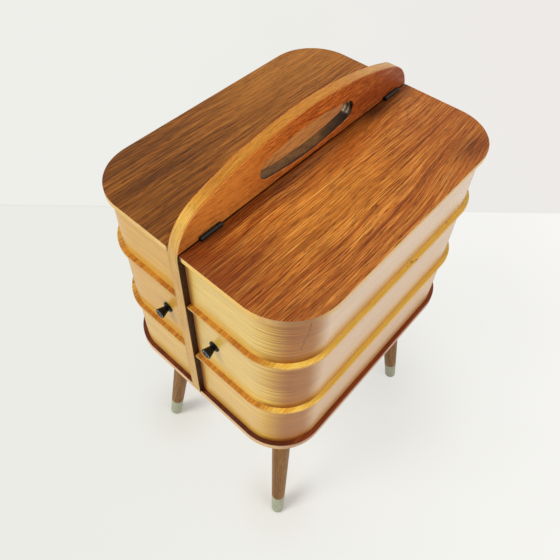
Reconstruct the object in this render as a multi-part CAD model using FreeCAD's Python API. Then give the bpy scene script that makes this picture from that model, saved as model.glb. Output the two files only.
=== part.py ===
"""Floor-standing sewing box: a centre board with an arched handle, and on each side of it a fixed
bottom tray, a sliding drawer and a fixed top tray under a hinged lid, all on four splayed legs.

Millimetres, +Z up, the drawers open towards -Y. The origin is on the floor, in the middle of the
whole outline. Each side is modelled once, at +X, and mirrored for the left.
"""
import FreeCAD, Part
import math
import os

from FreeCAD import Vector

os.makedirs("parts", exist_ok=True)

# ---- Panels in plan -------------------------------------------------------------------------
BOX_WIDTH = 301.0            # lids, ledges and base, across both sides
BOX_DEPTH = 380.0            # the same, front to back
CORNER_RADIUS = 62.0         # outer corners of the panels
WALL_RECESS = 5.5            # bentwood walls stand this far inside the ledges
WALL_THICKNESS = 5.0
INNER_SIDE_THICKNESS = 10.0  # straight side of each tray, beside the centre board
EDGE_ROUND = 0.5             # sanded edges of the panels

# ---- Heights --------------------------------------------------------------------------------
LEG_HEIGHT = 292.0           # floor to the underside of the base
BASE_THICKNESS = 11.0
BOTTOM_TIER = 95.5           # top of the base to the drawer floor's top
DRAWER_TIER = 101.5          # drawer floor's top to the top tray floor's top
TOP_TIER = 84.5              # top tray floor's top to the lid's top
FLOOR_THICKNESS = 4.0        # tray floors, whose rims are the ledges
LID_THICKNESS = 8.0
VENEER = 0.6

# ---- Centre board ---------------------------------------------------------------------------
BOARD_THICKNESS = 14.0
BOARD_PROUD = 2.0            # board past the panels, at the front and at the back
HANDLE_RISE = 66.5           # crown of the handle above the lids
SHOULDER_RADIUS = 55.0
SHOULDER_DROP = 12.0         # where the upright edges start to curve, below the lids' top
SLOT_LENGTH = 152.5
SLOT_LEVEL = 25.3            # middle of the hand slot's ends, above the lids' top
SLOT_RISE = 19.5             # from there up to the crown of the slot
SLOT_SAG = 17.6              # from there down to the lowest line of its sill
SLOT_END_RADIUS = 11.5
SLOT_ROUND = 1.5             # eased edge of the hand slot

# ---- Clearances -----------------------------------------------------------------------------
LID_SIDE_GAP = 1.2           # lid's inner edge to the board
LID_REST_GAP = 0.3           # lid above the top tray's rim
DRAWER_SIDE_GAP = 0.6        # drawer to the board
DRAWER_UNDER_GAP = 0.5       # drawer floor above the bottom tray's rim
DRAWER_OVER_GAP = 0.8        # drawer's rim below the top tray's floor
RUNNER_CLEARANCE = 0.4       # runner in its groove
PIN_CLEARANCE = 0.05         # hinge pin in its knuckles, on the radius
SEAT_CLEARANCE = 0.02        # screws and studs in their holes, on the radius

# ---- Drawer runner --------------------------------------------------------------------------
RUNNER_THICKNESS = 6.0
RUNNER_HEIGHT = 14.0
GROOVE_END_WOOD = 14.0       # wood left in front of the groove, the drawer's closed stop

# ---- Knob -----------------------------------------------------------------------------------
KNOB_OFFSET = 38.0           # from the middle of the board
KNOB_LENGTH = 13.3
KNOB_FLANGE_RADIUS = 7.1
KNOB_FLANGE_RIM = 1.0        # straight part of the flange, along the knob
KNOB_FLANGE_THICKNESS = 2.0
KNOB_FLANGE_CROWN = 5.6      # radius where the flange's sloping rim ends
KNOB_NECK_RADIUS = 3.7
KNOB_NECK_START = 3.1        # thinnest place, from the wall
KNOB_FACE_RADIUS = 6.6
KNOB_FACE_DEPTH = 1.2        # recess in the outer face
KNOB_FACE_BEVEL = 0.5        # rim of the outer face, radially and along the knob
KNOB_RING_RADIUS = 4.9       # outer radius of the bright ring in the recess
KNOB_RING_WIDTH = 0.9
KNOB_RING_THICKNESS = 0.8
KNOB_SCREW_RADIUS = 1.75
KNOB_SCREW_REACH = 9.0       # screw inside the knob

# ---- Lid hinges -----------------------------------------------------------------------------
HINGE_LENGTH = 28.0
HINGE_FRONT_INSET = 40.0     # middle of the front hinge from the lid's front edge
HINGE_BACK_INSET = 34.0      # middle of the back hinge from the lid's back edge
KNUCKLE_RADIUS = 2.7
KNUCKLE_GAP = 0.2
KNUCKLE_COUNT = 5
LEAF_THICKNESS = 0.8
LEAF_DEPTH = 6.6             # leaf below the lid's top
BARREL_GAP = 0.15            # barrel to the board and to the lid
PIN_RADIUS = 1.2
PIN_HEAD = 0.3               # rounded pin ends past the barrel
HINGE_SCREW_RADIUS = 0.9
HINGE_SCREW_HEAD = 1.6
HINGE_SCREW_LENGTH = 5.5
HINGE_SCREW_PITCH = 9.5
HINGE_SCREWS_PER_LEAF = 3

# ---- Legs -----------------------------------------------------------------------------------
LEG_INSET_X = 58.5           # leg axis at the underside of the base, from the base's sides
LEG_INSET_Y = 66.0           # and from its front and back
LEG_SPLAY_X = 31.5           # from there out to the floor
LEG_SPLAY_Y = 38.0
LEG_TOP_RADIUS = 15.0
LEG_END_RADIUS = 10.3        # where the tip's sleeve starts
TIP_LENGTH = 48.0            # leg tip's sleeve, along the leg
TIP_WALL = 1.2
TIP_FOOT_RADIUS = 9.0        # sleeve's outer radius near the floor
TIP_FOOT_ROUND = 5.0
PLATE_SIZE = 46.0            # leg mounting plate
PLATE_THICKNESS = 2.5
PLATE_CORNER_RADIUS = 6.0
PLATE_SCREW_PITCH = 34.0
STUD_RADIUS = 4.0
STUD_UP = 5.0                # stud into the base
STUD_DOWN = 32.0             # stud into the leg

# ---- Wood screws ----------------------------------------------------------------------------
SCREW_RADIUS = 1.5
SCREW_HEAD_RADIUS = 3.0
SCREW_POINT = 1.2            # length of a screw's point, in shank radii
TRAY_SCREW_LENGTH = 15.5     # through an inner side into the board
RUNNER_SCREW_LENGTH = 11.5
PLATE_SCREW_LENGTH = 9.0
BOARD_SCREW_LENGTH = 40.0    # through the base, up into the board
BOARD_SCREW_RADIUS = 2.0
BOARD_SCREW_HEAD = 4.0
SIDE_SCREW_INSET = 40.0      # end screws of each row, from the tray's ends

# ---- Levels and lines worked out from the above ---------------------------------------------
BASE_TOP = LEG_HEIGHT + BASE_THICKNESS
DRAWER_FLOOR_TOP = BASE_TOP + BOTTOM_TIER
DRAWER_FLOOR_BOTTOM = DRAWER_FLOOR_TOP - FLOOR_THICKNESS
BOTTOM_RIM = DRAWER_FLOOR_BOTTOM - DRAWER_UNDER_GAP
TOP_FLOOR_TOP = DRAWER_FLOOR_TOP + DRAWER_TIER
TOP_FLOOR_BOTTOM = TOP_FLOOR_TOP - FLOOR_THICKNESS
DRAWER_RIM = TOP_FLOOR_BOTTOM - DRAWER_OVER_GAP
LID_TOP = TOP_FLOOR_TOP + TOP_TIER
LID_BOTTOM = LID_TOP - LID_THICKNESS
TOP_RIM = LID_BOTTOM - LID_REST_GAP

BOARD_FACE = BOARD_THICKNESS / 2
BOARD_END = BOX_DEPTH / 2 + BOARD_PROUD
DRAWER_FACE = BOARD_FACE + DRAWER_SIDE_GAP
LID_FACE = BOARD_FACE + LID_SIDE_GAP
WALL_FRONT = BOX_DEPTH / 2 - WALL_RECESS           # outer face of the walls, from the middle
SIDE_END = WALL_FRONT - WALL_THICKNESS             # ends of the inner sides
KNOB_HEIGHT = (DRAWER_FLOOR_TOP + DRAWER_RIM) / 2
GROOVE_HEIGHT = KNOB_HEIGHT
GROOVE_FRONT = -SIDE_END + GROOVE_END_WOOD
LEG_TOP_X = BOX_WIDTH / 2 - LEG_INSET_X
LEG_TOP_Y = BOX_DEPTH / 2 - LEG_INSET_Y
BARREL_X = BOARD_FACE + BARREL_GAP + KNUCKLE_RADIUS
BARREL_Z = LID_TOP + BARREL_GAP + KNUCKLE_RADIUS

KNOB_FRONT = WALL_FRONT + KNOB_LENGTH
VENEER_ROUND = min(EDGE_ROUND, VENEER * 0.8)
ORIGIN_SHIFT_Y = (max(KNOB_FRONT, BOARD_END) - BOARD_END) / 2   # middle of the whole outline

UP = Vector(0, 0, 1)
RIGHT = Vector(1, 0, 0)
BACK = Vector(0, 1, 0)


# ---- Basic shapes ---------------------------------------------------------------------------
def block(x0, x1, y0, y1, z0, z1):
    return Part.makeBox(x1 - x0, y1 - y0, z1 - z0, Vector(x0, y0, z0))


def arc(centre, radius, start, end, place):
    """Arc about a centre in a plane; place turns plane coordinates into a point."""
    points = []
    for angle in (start, (start + end) / 2, end):
        a = math.radians(angle)
        points.append(place(centre[0] + radius * math.cos(a), centre[1] + radius * math.sin(a)))
    return Part.Arc(*points).toShape()


def line(a, b):
    return Part.LineSegment(a, b).toShape()


def plan_plate(x_in, inset, z0, z1, both_sides=False):
    """Plate with the box's plan outline, drawn in by inset. One side of the board only: its inner
    edge is straight at x_in. Both sides: all four corners are round."""
    x_out = BOX_WIDTH / 2 - inset
    y_out = BOX_DEPTH / 2 - inset
    r = CORNER_RADIUS - inset
    cx = x_out - r
    cy = y_out - r

    def at(x, y):
        return Vector(x, y, z0)

    x_start = -cx if both_sides else x_in
    edges = [line(at(x_start, -y_out), at(cx, -y_out)),
             arc((cx, -cy), r, -90, 0, at),
             line(at(x_out, -cy), at(x_out, cy)),
             arc((cx, cy), r, 0, 90, at),
             line(at(cx, y_out), at(x_start, y_out))]
    if both_sides:
        edges += [arc((-cx, cy), r, 90, 180, at),
                  line(at(-x_out, cy), at(-x_out, -cy)),
                  arc((-cx, -cy), r, 180, 270, at)]
    else:
        edges.append(line(at(x_in, y_out), at(x_in, -y_out)))
    return Part.Face(Part.Wire(edges)).extrude(Vector(0, 0, z1 - z0))


def ease(shape, level, radius):
    """Round the edges of a shape that lie wholly at one height."""
    edges = [e for e in shape.Edges
             if abs(e.BoundBox.ZMin - level) < 1e-6 and abs(e.BoundBox.ZMax - level) < 1e-6]
    return shape.makeFillet(radius, edges)


def revolve(profile, base, direction):
    """Solid turned about +Z from (radius, height) corners, then stood at base along direction."""
    points = [Vector(r, 0, h) for r, h in profile]
    face = Part.Face(Part.makePolygon(points + points[:1]))
    solid = face.revolve(Vector(0, 0, 0), UP, 360)
    solid.Placement = FreeCAD.Placement(base, FreeCAD.Rotation(UP, direction))
    return solid


def rod(radius, base, direction, length):
    return Part.makeCylinder(radius, length, base, direction)


def countersunk(radius, head_radius, length, head, direction, clearance=0.0):
    """Countersunk screw whose head is flush at head and whose tip lies along direction. With a
    clearance it is the hole for the same screw."""
    r = radius + clearance
    big = head_radius + clearance
    cone = head_radius - radius
    tip = radius * SCREW_POINT
    profile = [(0, 0), (big, 0), (r, cone), (r, length - tip), (0, length + clearance)]
    return revolve(profile, head, direction)


def group(solids):
    return Part.makeCompound(solids)


def mirrored(shape):
    return shape.mirror(Vector(0, 0, 0), RIGHT)


def save(name, shape):
    placed = shape.copy()
    placed.translate(Vector(0, ORIGIN_SHIFT_Y, 0))
    placed.exportStep("parts/" + name + ".step")


def save_pair(name, shape):
    save(name + "_right", shape)
    save(name + "_left", mirrored(shape))


# ---- Rows of screws -------------------------------------------------------------------------
def side_screw_spots(z):
    """Three screw places along an inner side."""
    end = SIDE_END - SIDE_SCREW_INSET
    return [Vector(BOARD_FACE, y, z) for y in (-end, 0, end)]


def tray_screws(z, clearance=0.0):
    """Screws that hold a fixed tray's inner side to the board."""
    face = BOARD_FACE + INNER_SIDE_THICKNESS
    screws = []
    for spot in side_screw_spots(z):
        head = Vector(face, spot.y, spot.z)
        screws.append(countersunk(SCREW_RADIUS, SCREW_HEAD_RADIUS, TRAY_SCREW_LENGTH, head,
                                  -RIGHT, clearance))
    return screws


def runner_screws(clearance=0.0):
    face = BOARD_FACE + RUNNER_THICKNESS
    screws = []
    for spot in side_screw_spots(GROOVE_HEIGHT):
        head = Vector(face, spot.y, spot.z)
        screws.append(countersunk(SCREW_RADIUS, SCREW_HEAD_RADIUS, RUNNER_SCREW_LENGTH, head,
                                  -RIGHT, clearance))
    return screws


def hinge_middles():
    return (-BOX_DEPTH / 2 + HINGE_FRONT_INSET, BOX_DEPTH / 2 - HINGE_BACK_INSET)


def leaf_screws(head_x, direction, clearance=0.0):
    """Screws through one leaf of both hinges of a lid."""
    z = LID_TOP - LEAF_DEPTH / 2
    middle = (HINGE_SCREWS_PER_LEAF - 1) / 2
    screws = []
    for y in hinge_middles():
        for index in range(HINGE_SCREWS_PER_LEAF):
            head = Vector(head_x, y + (index - middle) * HINGE_SCREW_PITCH, z)
            screws.append(countersunk(HINGE_SCREW_RADIUS, HINGE_SCREW_HEAD, HINGE_SCREW_LENGTH,
                                      head, direction, clearance))
    return screws


def board_leaf_screws(clearance=0.0):
    return leaf_screws(BOARD_FACE + LEAF_THICKNESS, -RIGHT, clearance)


def lid_leaf_screws(clearance=0.0):
    return leaf_screws(LID_FACE, RIGHT, clearance)


def board_screws(clearance=0.0):
    """Long screws up through the base into the foot of the board."""
    end = SIDE_END - SIDE_SCREW_INSET
    screws = []
    for y in (-end, -end / 3, end / 3, end):
        head = Vector(0, y, LEG_HEIGHT)
        screws.append(countersunk(BOARD_SCREW_RADIUS, BOARD_SCREW_HEAD, BOARD_SCREW_LENGTH, head,
                                  UP, clearance))
    return screws


TOP_SCREW_Z = (TOP_FLOOR_TOP + TOP_RIM) / 2
BOTTOM_SCREW_Z = (BASE_TOP + BOTTOM_RIM) / 2


# ---- Centre board ---------------------------------------------------------------------------
def arch_edges(half_span, level, end_radius, rise, x):
    """Edges of an arch in the plane at x: a round shoulder at each end, tangent to the crown's
    arc. The shoulders' centres lie at height level, half_span each side of the middle. The crown
    is rise above them, or below them if rise is negative."""
    height = abs(rise)
    turn = math.copysign(1, rise)
    crown_radius = (half_span ** 2 + height ** 2 - end_radius ** 2) / (2 * (height - end_radius))
    meet = math.degrees(math.atan2(crown_radius - height, half_span))

    def at(y, z):
        return Vector(x, y, level + turn * z)

    return [arc((half_span, 0), end_radius, 0, meet, at),
            arc((0, height - crown_radius), crown_radius, meet, 180 - meet, at),
            arc((-half_span, 0), end_radius, 180 - meet, 180, at)]


def board_layer(x0, x1):
    """A layer of the board: upright ends, arched top."""
    shoulder = LID_TOP - SHOULDER_DROP
    edges = arch_edges(BOARD_END - SHOULDER_RADIUS, shoulder, SHOULDER_RADIUS,
                       HANDLE_RISE + SHOULDER_DROP, x0)
    corners = [Vector(x0, -BOARD_END, shoulder), Vector(x0, -BOARD_END, BASE_TOP),
               Vector(x0, BOARD_END, BASE_TOP), Vector(x0, BOARD_END, shoulder)]
    edges += [line(a, b) for a, b in zip(corners, corners[1:])]
    return Part.Face(Part.Wire(edges)).extrude(Vector(x1 - x0, 0, 0))


def hand_slot():
    """The hand slot's cut through the whole board, its edges eased on both faces."""
    half_span = SLOT_LENGTH / 2 - SLOT_END_RADIUS
    level = LID_TOP + SLOT_LEVEL
    upper = arch_edges(half_span, level, SLOT_END_RADIUS, SLOT_RISE, -BOARD_FACE)
    lower = arch_edges(half_span, level, SLOT_END_RADIUS, -SLOT_SAG, -BOARD_FACE)
    wire = Part.Wire(upper + lower[::-1])
    cut = Part.Face(wire).extrude(Vector(BOARD_THICKNESS, 0, 0))
    flare_outer = Part.Face(wire.makeOffset2D(SLOT_ROUND))
    for side in (1, -1):
        mouth = flare_outer.copy()
        mouth.translate(Vector(0 if side < 0 else BOARD_THICKNESS, 0, 0))
        throat = Part.Face(wire)
        depth = SLOT_ROUND if side < 0 else BOARD_THICKNESS - SLOT_ROUND
        throat.translate(Vector(depth, 0, 0))
        cut = cut.fuse(Part.makeLoft([mouth.OuterWire, throat.OuterWire], True))
    return cut


def build_board():
    slot = hand_slot()
    holes = board_screws(SEAT_CLEARANCE)
    right_holes = (tray_screws(TOP_SCREW_Z, SEAT_CLEARANCE)
                   + tray_screws(BOTTOM_SCREW_Z, SEAT_CLEARANCE)
                   + runner_screws(SEAT_CLEARANCE) + board_leaf_screws(SEAT_CLEARANCE))
    holes += right_holes + [mirrored(hole) for hole in right_holes]
    skin = BOARD_FACE - VENEER
    core = board_layer(-skin, skin).cut([slot] + holes)
    veneer = board_layer(skin, BOARD_FACE).cut([slot] + right_holes)
    save("centre_board_core", core)
    save_pair("centre_board_veneer", veneer)
    save("board_screws", group(board_screws()))


# ---- Base and legs --------------------------------------------------------------------------
def leg_axis(sx, sy):
    """Top of a leg's axis, at the underside of the base, and its unit direction to the floor."""
    top = Vector(sx * LEG_TOP_X, sy * LEG_TOP_Y, LEG_HEIGHT)
    foot = Vector(sx * (LEG_TOP_X + LEG_SPLAY_X), sy * (LEG_TOP_Y + LEG_SPLAY_Y), 0)
    direction = (foot - top).normalize()
    return top, direction


LEG_SPOTS = {"front_right": (1, -1), "front_left": (-1, -1),
             "back_right": (1, 1), "back_left": (-1, 1)}
LEG_LENGTH = math.hypot(LEG_SPLAY_X, LEG_SPLAY_Y, LEG_HEIGHT)


def stud(sx, sy, clearance=0.0):
    top, down = leg_axis(sx, sy)
    start = top - down * STUD_UP
    length = STUD_UP + STUD_DOWN + clearance
    return rod(STUD_RADIUS + clearance, start - down * clearance, down, length + clearance)


def plate_screw_heads(sx, sy):
    top, _ = leg_axis(sx, sy)
    half = PLATE_SCREW_PITCH / 2
    z = LEG_HEIGHT - PLATE_THICKNESS
    return [Vector(top.x + dx, top.y + dy, z) for dx in (-half, half) for dy in (-half, half)]


def plate_screws(sx, sy, clearance=0.0):
    return [countersunk(SCREW_RADIUS, SCREW_HEAD_RADIUS, PLATE_SCREW_LENGTH, head, UP, clearance)
            for head in plate_screw_heads(sx, sy)]


def leg_plate(sx, sy):
    top, _ = leg_axis(sx, sy)
    half = PLATE_SIZE / 2
    plate = block(top.x - half, top.x + half, top.y - half, top.y + half,
                  LEG_HEIGHT - PLATE_THICKNESS, LEG_HEIGHT)
    corners = [e for e in plate.Edges if e.BoundBox.ZLength > PLATE_THICKNESS / 2]
    plate = plate.makeFillet(PLATE_CORNER_RADIUS, corners)
    return plate.cut([stud(sx, sy, SEAT_CLEARANCE)] + plate_screws(sx, sy, SEAT_CLEARANCE))


def leg_and_tip(sx, sy):
    """A tapered leg, cut level under its plate, and the sleeve on its end, rounded to a small
    flat foot that stands level on the floor."""
    top, down = leg_axis(sx, sy)
    sleeve_start = LEG_LENGTH - TIP_LENGTH
    extra = LEG_TOP_RADIUS                      # cone past the plate, so the level cut is whole
    slope = (LEG_TOP_RADIUS - LEG_END_RADIUS) / sleeve_start
    core_end = LEG_LENGTH - TIP_FOOT_ROUND
    core_radius = LEG_END_RADIUS - TIP_WALL
    core_foot = TIP_FOOT_RADIUS - TIP_WALL
    profile = [(0, -extra), (LEG_TOP_RADIUS + slope * extra, -extra),
               (LEG_END_RADIUS, sleeve_start), (core_radius, sleeve_start),
               (core_foot, core_end), (0, core_end)]
    leg = revolve(profile, top, down)
    reach = BOX_WIDTH
    above = block(-reach, reach, -reach, reach, LEG_HEIGHT - PLATE_THICKNESS, 2 * LEG_HEIGHT)
    leg = leg.cut([above, stud(sx, sy, SEAT_CLEARANCE)])

    past = LEG_LENGTH + TIP_FOOT_RADIUS         # sleeve past the floor, cut level below
    outer = revolve([(0, sleeve_start), (LEG_END_RADIUS, sleeve_start), (TIP_FOOT_RADIUS, past),
                     (0, past)], top, down)
    floor = block(-reach, reach, -reach, reach, -reach, 0)
    outer = ease(outer.cut(floor), 0, TIP_FOOT_ROUND)
    return leg, outer.cut(leg)


def build_base():
    studs = []
    screws = []
    for spot in LEG_SPOTS.values():
        studs.append(stud(*spot, SEAT_CLEARANCE))
        screws += plate_screws(*spot, SEAT_CLEARANCE)
    holes = studs + screws + board_screws(SEAT_CLEARANCE)
    core = plan_plate(0, 0, LEG_HEIGHT, BASE_TOP - VENEER, both_sides=True)
    core = ease(core, LEG_HEIGHT, EDGE_ROUND)
    veneer = plan_plate(0, 0, BASE_TOP - VENEER, BASE_TOP, both_sides=True)
    veneer = ease(veneer, BASE_TOP, VENEER_ROUND)
    save("base_panel", core.cut(holes))
    save("base_veneer", veneer.cut(holes))


def build_legs():
    for name, spot in LEG_SPOTS.items():
        leg, tip = leg_and_tip(*spot)
        save("leg_" + name, leg)
        save("leg_tip_" + name, tip)
    spots = list(LEG_SPOTS.values())
    save("leg_plates", group([leg_plate(*spot) for spot in spots]))
    save("leg_studs", group([stud(*spot) for spot in spots]))
    save("leg_plate_screws", group([s for spot in spots for s in plate_screws(*spot)]))


# ---- Trays and drawers ----------------------------------------------------------------------
def bent_wall(x_in, z0, z1):
    """U-shaped bentwood wall, open towards the board."""
    outer = plan_plate(x_in, WALL_RECESS, z0, z1)
    inner = plan_plate(x_in, WALL_RECESS + WALL_THICKNESS, z0, z1)
    return outer.cut(inner)


def inner_side(x_in, z0, z1):
    return block(x_in, x_in + INNER_SIDE_THICKNESS, -SIDE_END, SIDE_END, z0, z1)


def tray_floor(x_in, z_top):
    floor = plan_plate(x_in, 0, z_top - FLOOR_THICKNESS, z_top)
    rounded = ease(floor, z_top, EDGE_ROUND)
    return ease(rounded, z_top - FLOOR_THICKNESS, EDGE_ROUND)


def build_fixed_trays():
    save_pair("bottom_tray_wall", bent_wall(BOARD_FACE, BASE_TOP, BOTTOM_RIM))
    side = inner_side(BOARD_FACE, BASE_TOP, BOTTOM_RIM)
    bottom_holes = tray_screws(BOTTOM_SCREW_Z, SEAT_CLEARANCE)
    save_pair("bottom_tray_inner_side", side.cut(bottom_holes))

    save_pair("top_tray_wall", bent_wall(BOARD_FACE, TOP_FLOOR_TOP, TOP_RIM))
    side = inner_side(BOARD_FACE, TOP_FLOOR_TOP, TOP_RIM)
    save_pair("top_tray_inner_side", side.cut(tray_screws(TOP_SCREW_Z, SEAT_CLEARANCE)))
    save_pair("top_tray_floor", tray_floor(BOARD_FACE, TOP_FLOOR_TOP))
    save_pair("tray_screws", group(tray_screws(TOP_SCREW_Z) + tray_screws(BOTTOM_SCREW_Z)))


def groove():
    """Groove in the drawer for its runner: closed in front, open at the back."""
    half = RUNNER_HEIGHT / 2 + RUNNER_CLEARANCE
    depth = BOARD_FACE + RUNNER_THICKNESS + RUNNER_CLEARANCE
    return block(DRAWER_FACE, depth, GROOVE_FRONT, BOX_DEPTH / 2,
                 GROOVE_HEIGHT - half, GROOVE_HEIGHT + half)


def knob_screw(clearance=0.0):
    """Screw from inside the drawer, through its wall, into the knob."""
    head = Vector(KNOB_OFFSET, -SIDE_END, KNOB_HEIGHT)
    length = WALL_THICKNESS + KNOB_SCREW_REACH
    return countersunk(KNOB_SCREW_RADIUS, SCREW_HEAD_RADIUS, length, head, -BACK, clearance)


def knob_parts():
    """Knob turned about its own axis, which points to the front, and the ring in its face."""
    base = Vector(KNOB_OFFSET, -WALL_FRONT, KNOB_HEIGHT)
    cup = KNOB_LENGTH - KNOB_FACE_DEPTH
    rim = KNOB_RING_RADIUS + SEAT_CLEARANCE
    bevel = KNOB_FACE_BEVEL
    profile = [(0, 0), (KNOB_FLANGE_RADIUS, 0), (KNOB_FLANGE_RADIUS, KNOB_FLANGE_RIM),
               (KNOB_FLANGE_CROWN, KNOB_FLANGE_THICKNESS), (KNOB_NECK_RADIUS, KNOB_NECK_START),
               (KNOB_FACE_RADIUS, KNOB_LENGTH - bevel), (KNOB_FACE_RADIUS - bevel, KNOB_LENGTH),
               (rim, KNOB_LENGTH), (rim, cup), (0, cup)]
    knob = revolve(profile, base, -BACK).cut(knob_screw(SEAT_CLEARANCE))
    inner = KNOB_RING_RADIUS - KNOB_RING_WIDTH
    top = cup + KNOB_RING_THICKNESS
    ring = revolve([(inner, cup), (KNOB_RING_RADIUS, cup), (KNOB_RING_RADIUS, top), (inner, top)],
                   base, -BACK)
    return knob, ring


def build_drawers():
    wall = bent_wall(DRAWER_FACE, DRAWER_FLOOR_TOP, DRAWER_RIM)
    save_pair("drawer_wall", wall.cut([groove(), knob_screw(SEAT_CLEARANCE)]))
    side = inner_side(DRAWER_FACE, DRAWER_FLOOR_TOP, DRAWER_RIM)
    save_pair("drawer_inner_side", side.cut(groove()))
    save_pair("drawer_floor", tray_floor(DRAWER_FACE, DRAWER_FLOOR_TOP))
    knob, ring = knob_parts()
    save_pair("drawer_knob", knob)
    save_pair("drawer_knob_ring", ring)
    save_pair("drawer_knob_screw", knob_screw())

    half = RUNNER_HEIGHT / 2
    runner = block(BOARD_FACE, BOARD_FACE + RUNNER_THICKNESS, GROOVE_FRONT + RUNNER_CLEARANCE,
                   WALL_FRONT, GROOVE_HEIGHT - half, GROOVE_HEIGHT + half)
    save_pair("drawer_runner", runner.cut(runner_screws(SEAT_CLEARANCE)))
    save_pair("runner_screws", group(runner_screws()))


# ---- Lids and hinges ------------------------------------------------------------------------
def knuckle_spans(y_middle, own):
    """Ends of the knuckles that belong to one leaf: the odd or the even ones."""
    pitch = HINGE_LENGTH / KNUCKLE_COUNT
    start = y_middle - HINGE_LENGTH / 2
    spans = []
    for index in range(KNUCKLE_COUNT):
        if index % 2 == own:
            y0 = start + index * pitch + KNUCKLE_GAP / 2
            spans.append((y0, y0 + pitch - KNUCKLE_GAP))
    return spans


def hinge_leaf(y_middle, x0, own):
    """A leaf between the board and the lid's edge, its knuckles on the barrel above the seam."""
    x1 = x0 + LEAF_THICKNESS
    below_barrel = BARREL_Z - KNUCKLE_RADIUS - KNUCKLE_GAP
    half = HINGE_LENGTH / 2
    leaf = block(x0, x1, y_middle - half, y_middle + half, LID_TOP - LEAF_DEPTH, below_barrel)
    pieces = []
    for y0, y1 in knuckle_spans(y_middle, own):
        pieces.append(block(x0, x1, y0, y1, below_barrel, BARREL_Z))
        pieces.append(rod(KNUCKLE_RADIUS, Vector(BARREL_X, y0, BARREL_Z), BACK, y1 - y0))
    leaf = leaf.fuse(pieces)
    bore = rod(PIN_RADIUS + PIN_CLEARANCE, Vector(BARREL_X, y_middle - half, BARREL_Z), BACK,
               HINGE_LENGTH)
    return leaf.cut(bore).removeSplitter()


def hinge_pin(y_middle):
    length = HINGE_LENGTH + 2 * PIN_HEAD
    pin = rod(PIN_RADIUS, Vector(BARREL_X, y_middle - length / 2, BARREL_Z), BACK, length)
    ends = [e for e in pin.Edges if e.BoundBox.YLength < 1e-6]
    return pin.makeFillet(PIN_HEAD, ends)


def hinge_mortise():
    """Seats of both leaves in the lid's inner edge."""
    half = HINGE_LENGTH / 2
    return [block(LID_FACE, LID_FACE + LEAF_THICKNESS, y - half, y + half,
                  LID_TOP - LEAF_DEPTH, LID_TOP) for y in hinge_middles()]


def build_lids():
    cuts = hinge_mortise() + lid_leaf_screws(SEAT_CLEARANCE)
    panel = plan_plate(LID_FACE, 0, LID_BOTTOM, LID_TOP - VENEER)
    panel = ease(panel, LID_BOTTOM, EDGE_ROUND)
    veneer = plan_plate(LID_FACE, 0, LID_TOP - VENEER, LID_TOP)
    veneer = ease(veneer, LID_TOP, VENEER_ROUND)
    save_pair("lid_panel", panel.cut(cuts))
    save_pair("lid_veneer", veneer.cut(cuts))

    lid_leaves = [hinge_leaf(y, LID_FACE, 1).cut(lid_leaf_screws(SEAT_CLEARANCE))
                  for y in hinge_middles()]
    board_leaves = [hinge_leaf(y, BOARD_FACE, 0).cut(board_leaf_screws(SEAT_CLEARANCE))
                    for y in hinge_middles()]
    save_pair("hinge_lid_leaves", group(lid_leaves))
    save_pair("hinge_board_leaves", group(board_leaves))
    save_pair("hinge_pins", group([hinge_pin(y) for y in hinge_middles()]))
    save_pair("hinge_lid_screws", group(lid_leaf_screws()))
    save_pair("hinge_board_screws", group(board_leaf_screws()))


build_base()
build_legs()
build_board()
build_fixed_trays()
build_drawers()
build_lids()
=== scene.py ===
"""Looks of the sewing box: teak lids, lacquered bentwood tiers, black knobs, walnut legs.

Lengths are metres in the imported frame: +Z up, the drawers open towards -Y. Tones are 8-bit sRGB.
The numbers beside x, y and z are places on the box, with y counted from the box's middle.
"""
import bpy
import math
from mathutils import Matrix, Vector

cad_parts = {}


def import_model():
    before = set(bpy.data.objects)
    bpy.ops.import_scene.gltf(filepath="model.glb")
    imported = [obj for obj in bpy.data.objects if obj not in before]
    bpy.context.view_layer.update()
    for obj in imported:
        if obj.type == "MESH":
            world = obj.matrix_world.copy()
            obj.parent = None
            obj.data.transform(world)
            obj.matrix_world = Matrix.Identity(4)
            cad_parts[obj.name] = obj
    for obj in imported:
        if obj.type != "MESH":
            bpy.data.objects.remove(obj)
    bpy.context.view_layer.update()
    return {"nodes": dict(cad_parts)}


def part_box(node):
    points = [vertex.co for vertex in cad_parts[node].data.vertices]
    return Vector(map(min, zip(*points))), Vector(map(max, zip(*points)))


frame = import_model()
NODES = frame["nodes"]

SIDES = ("right", "left")
TIERS = ("top_tray", "drawer", "bottom_tray")
CORNERS = ("front_right", "front_left", "back_right", "back_left")
Y_AXIS = (0, 1, 0)

# The box's middle and its walls' corner arcs in plan, for patterns that follow the bends.
WALL_LO, WALL_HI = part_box("top_tray_wall_right")
PANEL_LO, PANEL_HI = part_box("lid_panel_right")
MID_Y = (PANEL_LO.y + PANEL_HI.y) / 2
HALF_DEPTH = (PANEL_HI.y - PANEL_LO.y) / 2
BASE_TOP_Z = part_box("base_panel")[1].z
BEND = 0.0565                        # outer radius of the walls' bends
BEND_X = WALL_HI.x - BEND
BEND_Y = (WALL_HI.y - WALL_LO.y) / 2 - BEND
SEAM_TOP = 0.5847                    # the board is painted dark below the lids' tops, as shade in the seam and beside the tiers


def srgb(r, g, b):
    """Linear colour of an 8-bit sRGB one."""
    lin = [c / 12.92 if c <= 0.04045 else ((c + 0.055) / 1.055) ** 2.4
           for c in (r / 255, g / 255, b / 255)]
    return (*lin, 1.0)


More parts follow.
